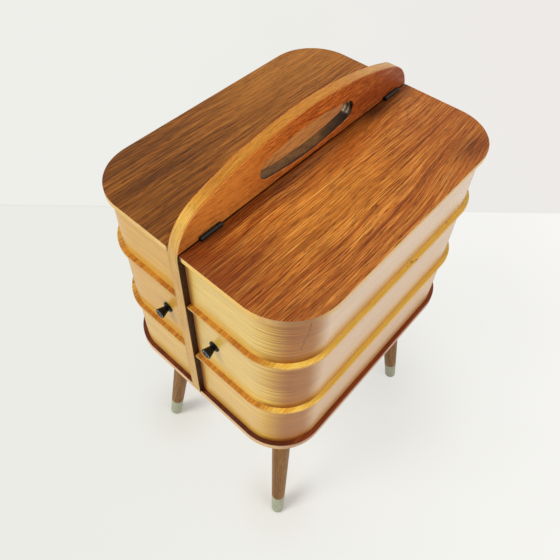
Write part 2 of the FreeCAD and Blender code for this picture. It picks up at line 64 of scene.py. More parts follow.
class Paint:
    """A Principled material built by short calls. Most calls return an output socket.

    spot and its parts x, y and z are places in the frame, with y from the middle of the box.
    A share is a socket or number from 0 to 1.
    """

    def __init__(self, name, **plain):
        self.material = bpy.data.materials.new(name)
        self.material.use_nodes = True
        self.tree = self.material.node_tree
        self.shader = self.tree.nodes["Principled BSDF"]
        for key, value in plain.items():
            self.shader.inputs[key.replace("_", " ")].default_value = value
        place = self.node("ShaderNodeTexCoord", output="Object")
        self.spot = self.vector("SUBTRACT", place, (0, MID_Y, 0))
        self.x, self.y, self.z = self.split(self.spot)

    # -- nodes and arithmetic
    def put(self, socket, value):
        """Set a socket to a value, or link it to another socket."""
        if isinstance(value, bpy.types.NodeSocket):
            self.tree.links.new(value, socket)
        else:
            socket.default_value = value

    def node(self, kind, inputs=None, output=0, **settings):
        made = self.tree.nodes.new(kind)
        for key, value in settings.items():
            setattr(made, key, value)
        for key, value in (inputs or {}).items():
            self.put(made.inputs[key], value)
        return made.outputs[output]

    def maths(self, operation, *values, clamp=False):
        return self.node("ShaderNodeMath", dict(enumerate(values)), operation=operation,
                         use_clamp=clamp)

    def times(self, first, *others):
        """Product of sockets and numbers."""
        for other in others:
            first = self.maths("MULTIPLY", first, other)
        return first

    def sum(self, *pairs):
        """Weighted sum of (socket, weight) pairs."""
        total = 0.0
        for socket, weight in pairs:
            total = self.maths("MULTIPLY_ADD", socket, weight, total)
        return total

    def absolute(self, value):
        return self.maths("ABSOLUTE", value)

    def off(self, value, centre):
        """How far a value is from a centre."""
        return self.absolute(self.maths("SUBTRACT", value, centre))

    def vector(self, operation, *values, output=0):
        return self.node("ShaderNodeVectorMath", dict(enumerate(values)), output,
                         operation=operation)

    def dot(self, spot, way):
        return self.vector("DOT_PRODUCT", spot, tuple(way), output=1)

    def length(self, spot):
        return self.vector("LENGTH", spot, output=1)

    def combine(self, x, y, z):
        return self.node("ShaderNodeCombineXYZ", {0: x, 1: y, 2: z})

    def split(self, value):
        parts = self.tree.nodes.new("ShaderNodeSeparateXYZ")
        self.put(parts.inputs[0], value)
        return parts.outputs

    def facing(self, axis):
        """The surface's normal along an axis of the piece (0, 1 or 2), from -1 to 1."""
        return self.split(self.node("ShaderNodeTexCoord", output="Normal"))[axis]

    # -- shares
    def fade(self, value, low, high, start=0.0, end=1.0):
        """Smooth step from start where value is low to end where it is high."""
        return self.node("ShaderNodeMapRange", {0: value, 1: low, 2: high, 3: start, 4: end},
                         interpolation_type="SMOOTHSTEP")

    def straight(self, value, low, high):
        """Straight step from 0 where value is low to 1 where it is high."""
        return self.node("ShaderNodeMapRange", {0: value, 1: low, 2: high})

    def noise(self, spot, size, detail=2.0, roughness=0.5, shift=0.0):
        """Noise whose features measure size = (x, y, z) metres. shift picks another pattern."""
        grid = self.vector("MULTIPLY_ADD", spot, [1 / s for s in size],
                           (shift, shift * 1.7, -shift))
        return self.node("ShaderNodeTexNoise", {"Vector": grid, "Scale": 1.0, "Detail": detail,
                                                "Roughness": roughness})

    def blob(self, centre, size):
        """1 at a spot, falling to 0 at the ellipsoid of that size round it."""
        scaled = self.vector("DIVIDE", self.vector("SUBTRACT", self.spot, centre), size)
        return self.fade(self.length(scaled), 1.0, 0.0)

    # -- colours
    def mix(self, share, a, b, blend="MIX"):
        return self.node("ShaderNodeMix", {0: share, 6: a, 7: b}, 2, data_type="RGBA",
                         blend_type=blend)

    def ramp(self, share, places, tones):
        """Tones at places from 0 to 1."""
        made = self.tree.nodes.new("ShaderNodeValToRGB")
        elements = made.color_ramp.elements
        while len(elements) < len(tones):
            elements.new(0.5)
        for element, place, tone in zip(elements, places, tones):
            element.position = place
            element.color = srgb(*tone)
        self.put(made.inputs[0], share)
        return made.outputs[0]

    def tint(self, colour, *layers):
        """Lay tones over the colour, one after the other: (share, amount, tone) each."""
        for share, amount, tone in layers:
            colour = self.mix(self.times(share, amount), colour, srgb(*tone))
        return colour

    def darken(self, colour, share, tone):
        """Multiply the colour by a tone, by that share."""
        return self.mix(share, colour, self.mix(1.0, colour, srgb(*tone), "MULTIPLY"))

    def crisp(self, colour, fine, strength):
        """Make the colour lighter and darker by a fine noise, by up to that strength."""
        gain = self.maths("MULTIPLY_ADD", self.fade(fine, 0.36, 0.64, -1.0, 1.0), strength, 1.0)
        return self.mix(1.0, colour, self.combine(gain, gain, gain), "MULTIPLY")

    def finish(self, colour, roughness=None, height=None, bump=0.1, depth=0.0003):
        self.put(self.shader.inputs["Base Color"], colour)
        if roughness is not None:
            self.put(self.shader.inputs["Roughness"], roughness)
        if height is not None:
            self.put(self.shader.inputs["Normal"],
                     self.node("ShaderNodeBump", {"Strength": bump, "Distance": depth,
                                                  "Height": height}))
        return self.material


def turn_angle(paint):
    """How far a wall has turned from the front or back (0) to the side (a quarter turn)."""
    across = paint.straight(paint.absolute(paint.x), BEND_X, BEND_X + BEND)
    along = paint.straight(paint.absolute(paint.y), BEND_Y, BEND_Y + BEND)
    return paint.maths("ARCTAN2", across, along)


def grain(paint, along, seed, stripe, length=0.16, sway=None):
    """Wood figure along a direction: (stripes, fibres, pores, broad bands), each 0 to 1.

    stripe and length are the stripes' size. sway shifts them sideways, so that they curve.
    """
    axis = Vector(along).normalized()
    up = Vector((0, 0, 1)) if abs(axis.z) < 0.9 else Vector((0, 1, 0))
    side = axis.cross(up).normalized()
    spot = paint.combine(*[paint.dot(paint.spot, way) for way in (side, axis, axis.cross(side))])
    drift = paint.noise(spot, (0.07, 0.16, 0.07), 1.0, shift=seed + 3.1)
    drift = paint.maths("MULTIPLY_ADD", drift, 0.02, -0.01)
    if sway is not None:
        drift = paint.maths("ADD", drift, sway)
    spot = paint.vector("ADD", spot, paint.combine(drift, 0.0, 0.0))
    stripes = paint.noise(spot, (stripe, length, stripe), 3.0, 0.55, seed)
    fibres = paint.noise(spot, (0.0009, 0.042, 0.0009), 2.0, 0.6, seed + 7.7)
    pores = paint.noise(spot, (0.0006, 0.014, 0.0006), 1.0, 0.5, seed + 11.3)
    bands = paint.noise(spot, (0.018, 0.5, 0.018), 2.0, 0.5, seed + 17.9)
    return stripes, fibres, paint.fade(pores, 0.57, 0.68), bands


# ---- Teak lids ------------------------------------------------------------------------------
TEAK_PLACES = (0.0, 0.3, 0.55, 0.8, 1.0)
PLAIN_PLACES = (0.0, 0.5, 1.0)


def teak(name, along, tones, seed, share=(0.30, 0.45, 0.25), pore=0.45, stripe=0.0042,
         spread=0.16, sway=None, extra=None, **plain):
    """Oiled teak veneer. tones run from the darkest streak to the palest.

    share weighs the bands, stripes and fibres, and a small spread makes their contrast strong.
    """
    paint = Paint(name, **{"Roughness": 0.42, "Specular_IOR_Level": 0.25, **plain})
    swaying = sway(paint) if sway else None
    stripes, fibres, pores, bands = grain(paint, along, seed, stripe, sway=swaying)
    figure = paint.sum((bands, share[0]), (stripes, share[1]), (fibres, share[2]))
    figure = paint.fade(figure, 0.5 - spread, 0.5 + spread)
    colour = paint.ramp(figure, TEAK_PLACES, tones)
    if extra:
        colour = extra(paint, colour)
    colour = paint.darken(colour, paint.times(pores, pore), (150, 120, 105))
    height = paint.sum((fibres, 0.5), (stripes, 0.3), (pores, -0.6))
    return paint.finish(colour, paint.fade(figure, 0.0, 1.0, 0.50, 0.38), height, 0.12)


def right_lid_lean(paint):
    """How far outwards a stripe of the outer third lies, more so towards the front."""
    return paint.sum((paint.y, 0.065), (paint.times(paint.y, paint.y), 0.4))


def right_lid_sway(paint):
    return paint.times(right_lid_lean(paint), paint.fade(paint.x, 0.070, 0.125))


def right_lid_tones(paint, colour):
    """Golden in the middle, redder in front, painted shadow of the board along it and at the back
    hinge, dark figure at the far corner.
    """
    swayed = paint.maths("ADD", paint.x, right_lid_sway(paint))
    fine = paint.noise(paint.combine(swayed, paint.y, 0.0), (0.0013, 0.040, 1.0), 2.0, 0.6, 41.0)
    colour = paint.crisp(colour, fine, paint.fade(paint.y, 0.150, -0.050, 0.0, 0.30))

    gold = paint.blob((0.075, -0.040, 0.581), (0.060, 0.150, 0.1))
    front = paint.times(paint.fade(paint.y, -0.090, -0.190),
                        paint.fade(paint.x, 0.115, 0.050, 0.35, 1.0))
    streaks = paint.noise(paint.spot, (0.0011, 0.07, 0.0011), 2.0, 0.5, 14.0)
    streaks = paint.times(paint.fade(streaks, 0.52, 0.60),
                          paint.fade(paint.y, 0.020, -0.140, 0.25, 1.0))
    back = paint.fade(paint.y, 0.040, 0.185)
    ember = paint.blob((0.030, 0.040, 0.581), (0.026, 0.110, 0.1))
    # Painted shadow of the board on the lid: a strip along the board, its edge made ragged by
    # noise.
    board_shadow_edge = paint.noise(paint.spot, (0.0032, 0.11, 0.0032), 3.0, 0.6, 27.0)
    by_board = paint.fade(paint.maths("MULTIPLY_ADD", board_shadow_edge, 0.036, paint.x), 0.0410, 0.0330)
    # Painted shadow of the board, widest by the back hinge.
    painted_shadow_at_hinge = paint.blob((0.012, 0.120, 0.585), (0.019, 0.045, 0.1))
    outer = paint.fade(paint.x, 0.095, 0.140)
    swirl = paint.noise(paint.spot, (0.0040, 0.16, 0.0040), 2.0, 0.5, 4.2)
    far_corner = paint.times(paint.blob((0.130, 0.140, 0.585), (0.026, 0.055, 0.1)),
                             paint.fade(swirl, 0.30, 0.55))

    wander = paint.noise(paint.spot, (0.004, 0.012, 0.004), 2.0, 0.6, 6.0)
    curve = paint.maths("ADD", paint.x, right_lid_lean(paint))
    curve = paint.maths("MULTIPLY_ADD", wander, 0.003, curve)
    line = paint.times(paint.fade(paint.off(curve, 0.1261), 0.0017, 0.0004),
                       paint.fade(paint.y, 0.135, 0.100), paint.fade(paint.y, -0.120, -0.070))
    return paint.tint(colour, (gold, 0.42, (228, 146, 48)), (front, 0.78, (130, 56, 13)),
                      (streaks, 0.50, (108, 44, 10)), (back, 0.40, (168, 94, 40)),
                      (ember, 0.60, (198, 98, 28)), (by_board, 0.58, (102, 42, 14)),
                      (painted_shadow_at_hinge, 0.75, (62, 28, 14)), (outer, 0.40, (164, 84, 32)),
                      (far_corner, 0.80, (98, 44, 10)), (line, 0.60, (104, 46, 20)))


def left_lid_sway(paint):
    """The stripes fan out towards the front from one point."""
    fan = paint.fade(paint.y, 0.060, -0.180, 0.0, -0.38)
    return paint.times(paint.maths("ADD", paint.x, 0.092), fan)


def left_lid_tones(paint, colour):
    """Paler outwards and at the back, with soft dark bands in front."""
    fine = paint.noise(paint.spot, (0.0013, 0.040, 0.0013), 2.0, 0.6, 43.0)
    colour = paint.crisp(colour, fine, 0.12)

    outer = paint.times(paint.fade(paint.x, -0.070, -0.120), paint.fade(paint.y, -0.04, 0.06))
    threads = paint.noise(paint.combine(paint.x, paint.y, 0.0), (0.0010, 0.09, 1.0), 2.0, 0.5,
                          5.5)
    front = paint.times(paint.fade(paint.y, -0.020, -0.150),
                        paint.fade(threads, 0.35, 0.62, 0.35, 1.25))
    fan = paint.maths("SUBTRACT", paint.x, left_lid_sway(paint))
    bands = paint.noise(paint.combine(fan, paint.y, 0.0), (0.0042, 0.20, 1.0), 3.0, 0.5, 8.8)
    bands = paint.times(paint.fade(bands, 0.42, 0.66), paint.fade(paint.y, 0.08, -0.12, 0.25, 1.0))
    by_board = paint.times(paint.fade(paint.x, -0.050, -0.020),
                           paint.fade(paint.y, -0.110, -0.030))
    return paint.tint(colour, (outer, 0.45, (188, 122, 46)), (front, 0.46, (100, 54, 12)),
                      (bands, 0.62, (84, 48, 16)), (by_board, 0.45, (206, 134, 66)))


LIDS = {
    "right": teak("teak_lid_right", Y_AXIS,
                  ((124, 56, 18), (174, 92, 30), (201, 118, 42), (218, 138, 54), (238, 166, 78)),
                  1.0, share=(0.12, 0.46, 0.42), stripe=0.0013, spread=0.12, pore=0.85,
                  sway=right_lid_sway, extra=right_lid_tones, Specular_IOR_Level=0.18),
    "left": teak("teak_lid_left", Y_AXIS,
                 ((96, 52, 13), (138, 79, 21), (163, 97, 31), (180, 111, 39), (198, 127, 49)),
                 31.0, share=(0.24, 0.42, 0.34), stripe=0.0017, spread=0.16, pore=0.75,
                 sway=left_lid_sway, extra=left_lid_tones, Specular_IOR_Level=0.18),
}


# ---- Centre board ---------------------------------------------------------------------------
def slot_mask(paint):
    """1 in the hand slot, 0 at the arch above it."""
    return paint.times(paint.fade(paint.absolute(paint.y), 0.0795, 0.0775),
                       paint.fade(paint.z, 0.638, 0.634))


def board_tones(paint, colour):
    """Yellower in front, browner at the back, painted dark below the lids' tops as shade in the
    seam and beside the tiers, and stained dark in the slot's rim.
    The veneer's front ends are as pale as the core."""
    fine = paint.noise(paint.spot, (0.0013, 0.008, 0.0013), 2.0, 0.6, 45.0)
    colour = paint.crisp(colour, fine, 0.24)

    front = paint.fade(paint.y, -0.010, -0.130)
    front_tip = paint.fade(paint.y, -0.150, -0.185)
    back = paint.fade(paint.y, 0.020, 0.140)
    # Painted shade: darkened below the lids' tops, in the seam by the lids and in the gap beside
    # the tiers.
    darkened = paint.fade(paint.z, SEAM_TOP + 0.0010, SEAM_TOP - 0.0006)
    end = paint.times(paint.maths("LESS_THAN", paint.facing(1), -0.9), darkened,
                      paint.fade(paint.x, 0.001, -0.001, 0.45, 1.0))
    rim = paint.times(paint.maths("LESS_THAN", paint.absolute(paint.facing(0)), 0.5),
                      slot_mask(paint))
    return paint.tint(colour, (front, 0.72, (250, 158, 67)), (front_tip, 0.35, (150, 70, 24)),
                      (back, 0.55, (150, 70, 31)), (darkened, 0.94, (20, 9, 5)),
                      (end, 1.0, (214, 168, 100)), (rim, 0.9, (44, 20, 8)))


BOARD_FACE = teak("teak_board", Y_AXIS,
                  ((158, 70, 24), (188, 92, 32), (206, 108, 40), (218, 124, 48), (236, 148, 68)),
                  61.0, share=(0.15, 0.30, 0.55), stripe=0.0016, spread=0.12, pore=0.85,
                  extra=board_tones, Specular_IOR_Level=0.15)


# ---- Pale wood at the panels' edges ---------------------------------------------------------
def pale_core(name, tones, seed, extra=None, **plain):
    """Pale solid wood with small dark pores. tones run from dark to pale."""
    paint = Paint(name, **{"Roughness": 0.38, "Specular_IOR_Level": 0.35, **plain})
    stripes, fibres, pores, bands = grain(paint, Y_AXIS, seed, 0.006, 0.12)
    figure = paint.fade(paint.sum((bands, 0.4), (stripes, 0.35), (fibres, 0.25)), 0.34, 0.66)
    colour = paint.ramp(figure, PLAIN_PLACES, tones)
    if extra:
        colour = extra(paint, colour)
    fleck = paint.noise(paint.spot, (0.0012, 0.005, 0.0012), 1.0, 0.5, seed + 2.0)
    colour = paint.darken(colour, paint.fade(fleck, 0.66, 0.74, 0.0, 0.55), (150, 130, 100))
    return paint.finish(colour, None, paint.sum((fibres, 0.6), (pores, -0.4)))


# The arch's tones from its front end (0) to its back end (1).
ARCH_PLACES = (0.0, 0.04, 0.08, 0.13, 0.30, 0.64, 0.82, 1.0)
ARCH_TONES = ((224, 182, 108), (238, 196, 92), (224, 166, 56), (198, 126, 36),
              (204, 132, 42), (206, 132, 46), (212, 156, 84), (218, 178, 126))


def slot_tones(paint):
    """Smoky brown in the hand slot, darker towards its back end, with a painted highlight at each
    end.
    """
    smoke = paint.noise(paint.spot, (0.008, 0.018, 0.008), 2.0, 0.5, 12.0)
    dark = paint.ramp(smoke, (0.35, 0.65), ((84, 50, 14), (124, 82, 36)))
    back = paint.fade(paint.y, 0.015, 0.062)
    # Painted highlights: a gleam on the back end's curve, broken up by noise, and a pale spot
    # inside the front end.
    gleam_breakup = paint.noise(paint.spot, (0.0016, 0.03, 0.03), 1.0, 0.5, 3.0)
    painted_highlight_back = paint.times(paint.fade(paint.off(paint.y, 0.0742), 0.0026, 0.0012),
                        paint.fade(gleam_breakup, 0.42, 0.55))
    painted_highlight_front = paint.fade(paint.y, -0.0715, -0.0745)
    border = paint.fade(paint.absolute(paint.x), 0.0046, 0.0058)
    return paint.tint(dark, (back, 0.85, (34, 17, 4)), (painted_highlight_back, 0.70, (206, 180, 146)),
                      (painted_highlight_front, 0.55, (176, 160, 140)), (border, 0.75, (26, 12, 5)))


def arch_tones(paint, colour):
    """The arch runs from pale in front over orange to beige at the back. Its hand slot is dark."""
    place = paint.straight(paint.y, -HALF_DEPTH, HALF_DEPTH)
    colour = paint.mix(0.70, colour, paint.ramp(place, ARCH_PLACES, ARCH_TONES))
    fine = paint.noise(paint.spot, (0.0012, 0.012, 0.05), 2.0, 0.6, 47.0)
    colour = paint.crisp(colour, fine, 0.12)
    border = paint.times(paint.fade(paint.x, 0.0042, 0.0058), paint.fade(paint.z, 0.596, 0.612))
    colour = paint.tint(colour, (border, 0.70, (186, 102, 26)))
    lines = paint.noise(paint.spot, (0.0010, 0.045, 0.05), 2.0, 0.6, 21.0)
    colour = paint.darken(colour, paint.times(paint.fade(lines, 0.50, 0.66), 0.45),
                          (206, 160, 110))
    return paint.mix(slot_mask(paint), colour, slot_tones(paint))


def panel_tones(paint, colour):
    """Lid panels' edges: golden in front, brown round the bends, painted dark along the board as
    the seam's shade.
    """
    turn = turn_angle(paint)
    edge = paint.maths("LESS_THAN", paint.absolute(paint.facing(2)), 0.5)
    bend = paint.times(paint.fade(turn, 0.25, 0.80), paint.fade(turn, 1.40, 1.05), edge)
    front = paint.times(paint.fade(turn, 0.45, 0.15), edge,
                        paint.fade(paint.x, -0.02, 0.02, 0.5, 1.0))
    # Painted shade of the seam on the lid's inner edge.
    inner = paint.fade(paint.absolute(paint.x), 0.0112, 0.0100)
    return paint.tint(colour, (bend, 0.85, (158, 100, 50)), (front, 0.75, (255, 208, 96)),
                      (inner, 0.85, (44, 22, 12)))


def base_edge_tones(paint, colour):
    """The edge is pale in front, and stained along its top at the sides."""
    turn = turn_angle(paint)
    front = paint.times(paint.fade(turn, 1.0, 0.5), paint.fade(paint.y, 0.0, -0.05))
    darkened = paint.times(paint.fade(paint.z, BASE_TOP_Z - 0.0050, BASE_TOP_Z - 0.0016),
                        paint.fade(turn, 0.7, 1.2))
    return paint.tint(colour, (front, 0.60, (246, 202, 142)), (darkened, 0.75, (130, 66, 26)))


BOARD_CORE = pale_core("board_core", ((184, 118, 40), (206, 144, 60), (226, 168, 84)), 5.0,
                       arch_tones, Roughness=0.36, Specular_IOR_Level=0.16)
PANEL_CORE = pale_core("panel_core", ((216, 164, 90), (236, 190, 114), (244, 206, 136)), 15.0,
                       panel_tones)
BASE_CORE = pale_core("base_core", ((186, 132, 88), (210, 158, 110), (228, 182, 138)), 25.0,
                      base_edge_tones)
INNER_WOOD = pale_core("inner_side", ((206, 152, 92), (222, 176, 116), (234, 196, 140)), 35.0)


# ---- Lacquered bentwood ---------------------------------------------------------------------
# From the top tier to the bottom one. SHINE is the lacquer's weight.
FRONT_TONES = {"right": ((249, 212, 94), (246, 206, 92), (240, 190, 60)),
               "left": ((233, 178, 48), (232, 178, 58), (235, 187, 70))}
# The bends' dark tone: partly the wood's own colour, partly painted shade.
BEND_TONE = (180, 110, 16)
# The sides' paler tones partly paint the light and sheen that the sides catch.
SIDE_TONES = ((240, 200, 150), (234, 188, 128), (232, 180, 106))
FRONT_SHINE = {"right": 0.5, "left": 0.34}
BEND_SHINE = 0.07
SIDE_SHINES = (0.95, 0.82, 0.68)
LINED = (1.0, 0.70, 0.60)            # how strongly the walls' dark lines show
SIDE_TURN = (1.08, 1.56)             # turn angles between which the bend becomes the side
# Painted reflections at the walls' foot: of the base top for the bottom tier, of the golden ledge
# for the others.
PAINTED_REFLECTION_ABOVE_BASE = (0.55, (206, 128, 56))
PAINTED_REFLECTION_ABOVE_LEDGE = (0.45, (255, 204, 92))


def hairline(paint, colour, turn):
    """A hairline crack down the front right bend, leaning towards the front."""
    wander = paint.noise(paint.spot, (0.02, 0.02, 0.006), 3.0, 0.7, 9.0)
    path = paint.fade(paint.z, 0.522, 0.566, 0.985, 1.115)
    off = paint.maths("SUBTRACT", paint.maths("MULTIPLY_ADD", wander, 0.10, turn), path)
    mark = paint.times(paint.fade(paint.off(off, 0.05), 0.013, 0.003),
                       paint.fade(paint.z, 0.520, 0.526), paint.fade(paint.z, 0.572, 0.564),
                       paint.maths("GREATER_THAN", paint.x, 0.0),
                       paint.maths("LESS_THAN", paint.y, 0.0))
    return paint.tint(colour, (mark, 0.68, (66, 36, 18)))


def bentwood(side, index):
    """Bent veneer wall of a tier, under lacquer. It differs in front, round the bends and along
    the sides, and has painted shade and a painted reflection of the ledge below it at its foot."""
    name = TIERS[index] + "_wall_" + side
    low, high = [corner.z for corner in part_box(name)]
    seed = 3.0 + 20.0 * index + (side == "left") * 7.0
    paint = Paint(name, Roughness=0.4, Coat_Roughness=0.24, Coat_IOR=2.0)
    turn = turn_angle(paint)
    tilt = paint.noise(paint.spot, (0.16, 0.16, 0.06), 1.0, 0.5, seed)
    spot = paint.combine(paint.x, paint.y, paint.maths("MULTIPLY_ADD", tilt, 0.016, paint.z))
    stripes = paint.noise(spot, (0.26, 0.26, 0.0018), 2.0, 0.55, seed + 1.0)
    fibres = paint.noise(spot, (0.04, 0.04, 0.0007), 2.0, 0.6, seed + 2.0)
    clouds = paint.noise(spot, (0.10, 0.10, 0.02), 2.0, 0.5, seed + 3.0)
    flecks = paint.noise(spot, (0.012, 0.012, 0.0012), 2.0, 0.5, seed + 4.0)
    fine = paint.noise(spot, (0.06, 0.06, 0.0014), 2.0, 0.6, seed + 5.0)

    # Shares of the side and of the bend. The bend's border follows the wood's own lines.
    along_side = paint.fade(turn, *SIDE_TURN)
    wander = paint.sum((turn, 1.0), (clouds, 0.24), (stripes, 0.17))
    far_end = paint.fade(wander, 1.92, 1.36)
    bend = paint.times(paint.fade(wander, 0.45, 1.08), far_end)
    matt = paint.times(paint.fade(wander, 0.32, 0.74), far_end)
    colour = paint.mix(along_side, srgb(*FRONT_TONES[side][index]), srgb(*SIDE_TONES[index]))
    # Partly painted shade: the bends take the dark bend tone.
    colour = paint.mix(bend, colour, srgb(*BEND_TONE))

    # Dark lines, which are strongest where the wall starts to bend.
    early = paint.times(paint.fade(turn, 0.0, 0.35), paint.fade(turn, 1.10, 0.75))
    strength = paint.sum((bend, 0.10), (early, 0.36), (along_side, -0.16))
    strength = paint.times(paint.maths("ADD", strength, 0.34), LINED[index])
    colour = paint.darken(colour, paint.times(paint.fade(stripes, 0.42, 0.60), strength),
                          (200, 158, 120))
    colour = paint.darken(colour, paint.fade(fibres, 0.5, 0.75, 0.0, 0.35), (214, 186, 160))
    colour = paint.darken(colour, paint.fade(flecks, 0.60, 0.72, 0.0, 0.35), (226, 196, 160))
    colour = paint.crisp(colour, fine, paint.fade(turn, 1.1, 0.5, 0.03, 0.10))

    # Painted shade in the corner over the ledge, a painted reflection of the part below, painted
    # shade along the sides' foot, a painted reflection of the board at the wall's ends, and the
    # rim.
    foot = paint.fade(paint.z, low + 0.012, low + 0.002)
    painted_corner_shade = paint.times(paint.fade(turn, 0.12, 0.50), paint.fade(turn, 1.57, 1.25), foot)
    # Painted reflection, at the front's foot, of the part just below it.
    glow = paint.times(paint.fade(turn, 0.40, 0.10), foot)
    on_base = low < BASE_TOP_Z + 0.010
    # Painted reflection of the board's dark face, on the walls' ends beside it.
    painted_board_reflection = paint.times(paint.fade(paint.absolute(paint.x), 0.0165, 0.0085),
                           paint.fade(turn, 0.1, 0.0))
    rim = paint.fade(paint.z, high - 0.0008, high - 0.0002)
    colour = paint.tint(colour, (paint.fade(clouds, 0.35, 0.7), 0.16, (206, 146, 72)),
                        (painted_corner_shade, 0.72, (134, 58, 15)),
                        (glow, *(PAINTED_REFLECTION_ABOVE_BASE if on_base else PAINTED_REFLECTION_ABOVE_LEDGE)),
                        # Painted shade and reflection of the ledge along the sides' foot.
                        (paint.times(along_side, foot), 0.10 if on_base else 0.40,
                         (184, 104, 40)),
                        (painted_board_reflection, 0.75, (196, 104, 42)), (rim, 0.45, (222, 178, 120)))
    if name == "top_tray_wall_right":
        colour = hairline(paint, colour, turn)

    lacquer = paint.fade(turn, *SIDE_TURN, FRONT_SHINE[side], SIDE_SHINES[index])
    lacquer = paint.maths("MULTIPLY_ADD", matt, BEND_SHINE - FRONT_SHINE[side], lacquer,
                          clamp=True)
    paint.put(paint.shader.inputs["Coat Weight"], lacquer)
    return paint.finish(colour, None, paint.sum((stripes, 0.4), (fibres, 0.6)), 0.05)


# ---- The rest of the wood -------------------------------------------------------------------
def ledge_wood(name):
    """Tray floor: brown orange in front, golden round the bends and sides, painted lighter along
    the sides against the walls' shade, with a pale edge.
    """
    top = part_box(name)[1].z
    paint = Paint(name, Roughness=0.4, Specular_IOR_Level=0.3)
    turn = turn_angle(paint)
    stripes, fibres, pores, bands = grain(paint, Y_AXIS, 45.0, 0.0020, 0.028)
    figure = paint.fade(paint.sum((bands, 0.2), (stripes, 0.45), (fibres, 0.35)), 0.34, 0.66)
    front = paint.ramp(figure, PLAIN_PLACES, ((152, 84, 20), (190, 122, 36), (214, 154, 56)))
    golden = paint.ramp(figure, PLAIN_PLACES, ((226, 162, 52), (251, 204, 84), (255, 224, 120)))
    share = paint.times(paint.fade(turn, 0.20, 0.75), paint.fade(paint.x, -0.02, 0.02, 0.55, 1.0))
    upper = paint.mix(share, front, golden)
    mark = paint.noise(paint.spot, (0.014, 0.022, 0.014), 3.0, 0.6, 52.0)
    # Painted light in the first layer: the sides are lightened against the shade of the walls
    # above.
    upper = paint.tint(upper, (paint.fade(turn, 1.20, 1.55), 0.60, (255, 206, 86)),
                       (paint.fade(mark, 0.66, 0.74), 0.65, (128, 74, 30)))
    edge = paint.ramp(figure, (0.0, 1.0), ((206, 148, 58), (236, 188, 90)))
    colour = paint.mix(paint.fade(paint.z, top - 0.0014, top - 0.0002), edge, upper)
    return paint.finish(colour, None, paint.sum((fibres, 0.6), (pores, -0.4)))


def base_tones(paint, colour):
    """Redder along the sides, near black in front."""
    front = paint.times(paint.fade(turn_angle(paint), 1.50, 0.75), paint.fade(paint.y, 0.0, -0.05),
                        paint.fade(paint.x, -0.05, 0.05, 0.70, 1.0))
    return paint.tint(colour, (front, 0.78, (54, 19, 5)))


def walnut(corner, index):
    """Walnut along a leg that splays outwards."""
    outwards = 1 if "right" in corner else -1
    backwards = 1 if "back" in corner else -1
    return teak("walnut_" + corner, (outwards * 0.117, backwards * 0.125, -0.985),
                ((100, 63, 19), (123, 80, 28), (139, 94, 37), (153, 106, 44), (169, 122, 56)),
                91.0 + 10 * index, share=(0.3, 0.3, 0.4), pore=0.3, stripe=0.0016, spread=0.2,
                Specular_IOR_Level=0.18)


BASE_TOP = teak("teak_base", Y_AXIS,
                ((98, 38, 10), (122, 50, 14), (146, 64, 20), (164, 78, 27), (184, 96, 38)),
                71.0, stripe=0.0026, spread=0.24, extra=base_tones)
RUNNER = teak("runner_wood", Y_AXIS,
              ((150, 96, 50), (176, 120, 68), (192, 138, 82), (206, 154, 96), (216, 168, 110)),
              81.0)


# ---- Plastic, paint and metal ---------------------------------------------------------------
CLOUDY = (0.3, 0.7)                  # part of a noise's values over which the tones change


def lighter(tone, step):
    return [min(part + step, 255) for part in tone]


def gloss_black(name, tone, gloss, specular):
    paint = Paint(name, Specular_IOR_Level=specular)
    smear = paint.noise(paint.spot, (0.004, 0.004, 0.004), 3.0, 0.6, 1.0)
    fine = paint.noise(paint.spot, (0.0006, 0.0006, 0.0006), 2.0, 0.6, 2.0)
    return paint.finish(paint.ramp(smear, CLOUDY, (tone, lighter(tone, 9))),
                        paint.fade(smear, *CLOUDY, gloss, gloss + 0.1), fine, 0.03, 0.0002)


def metal(name, tone, rough):
    paint = Paint(name, Metallic=1.0)
    scratches = paint.noise(paint.spot, (0.0004, 0.012, 0.0004), 2.0, 0.6, 1.0)
    cloud = paint.noise(paint.spot, (0.006, 0.006, 0.006), 2.0, 0.5, 2.0)
    return paint.finish(paint.ramp(cloud, CLOUDY, (tone, lighter(tone, 16))),
                        paint.fade(scratches, *CLOUDY, rough, rough + 0.12), scratches, 0.05,
                        0.0002)


def sleeve():
    """Leg tips: grey-green painted sleeves, duller and darker at the foot."""
    paint = Paint("leg_tip", Specular_IOR_Level=0.5)
    cloud = paint.noise(paint.spot, (0.009, 0.009, 0.02), 3.0, 0.6, 3.0)
    colour = paint.ramp(cloud, CLOUDY, ((150, 154, 128), (176, 178, 150)))
    colour = paint.tint(colour, (paint.fade(paint.z, 0.014, 0.0), 0.5, (128, 126, 108)))
    return paint.finish(colour, paint.fade(cloud, *CLOUDY, 0.32, 0.45), cloud, 0.05)


BLACK_PLASTIC = gloss_black("knob_black", (9, 8, 7), 0.16, 0.18)
BLACK_STEEL = gloss_black("hinge_black", (8, 7, 6), 0.20, 0.35)
RING = metal("knob_ring", (196, 198, 200), 0.15)
STEEL = metal("screw_steel", (168, 168, 166), 0.28)
PLATE = metal("plate_steel", (150, 150, 148), 0.38)
SLEEVE = sleeve()


# ---- Materials to the nodes -----------------------------------------------------------------
def dress(node, material):
    for slot in NODES[node].material_slots:
        slot.material = material


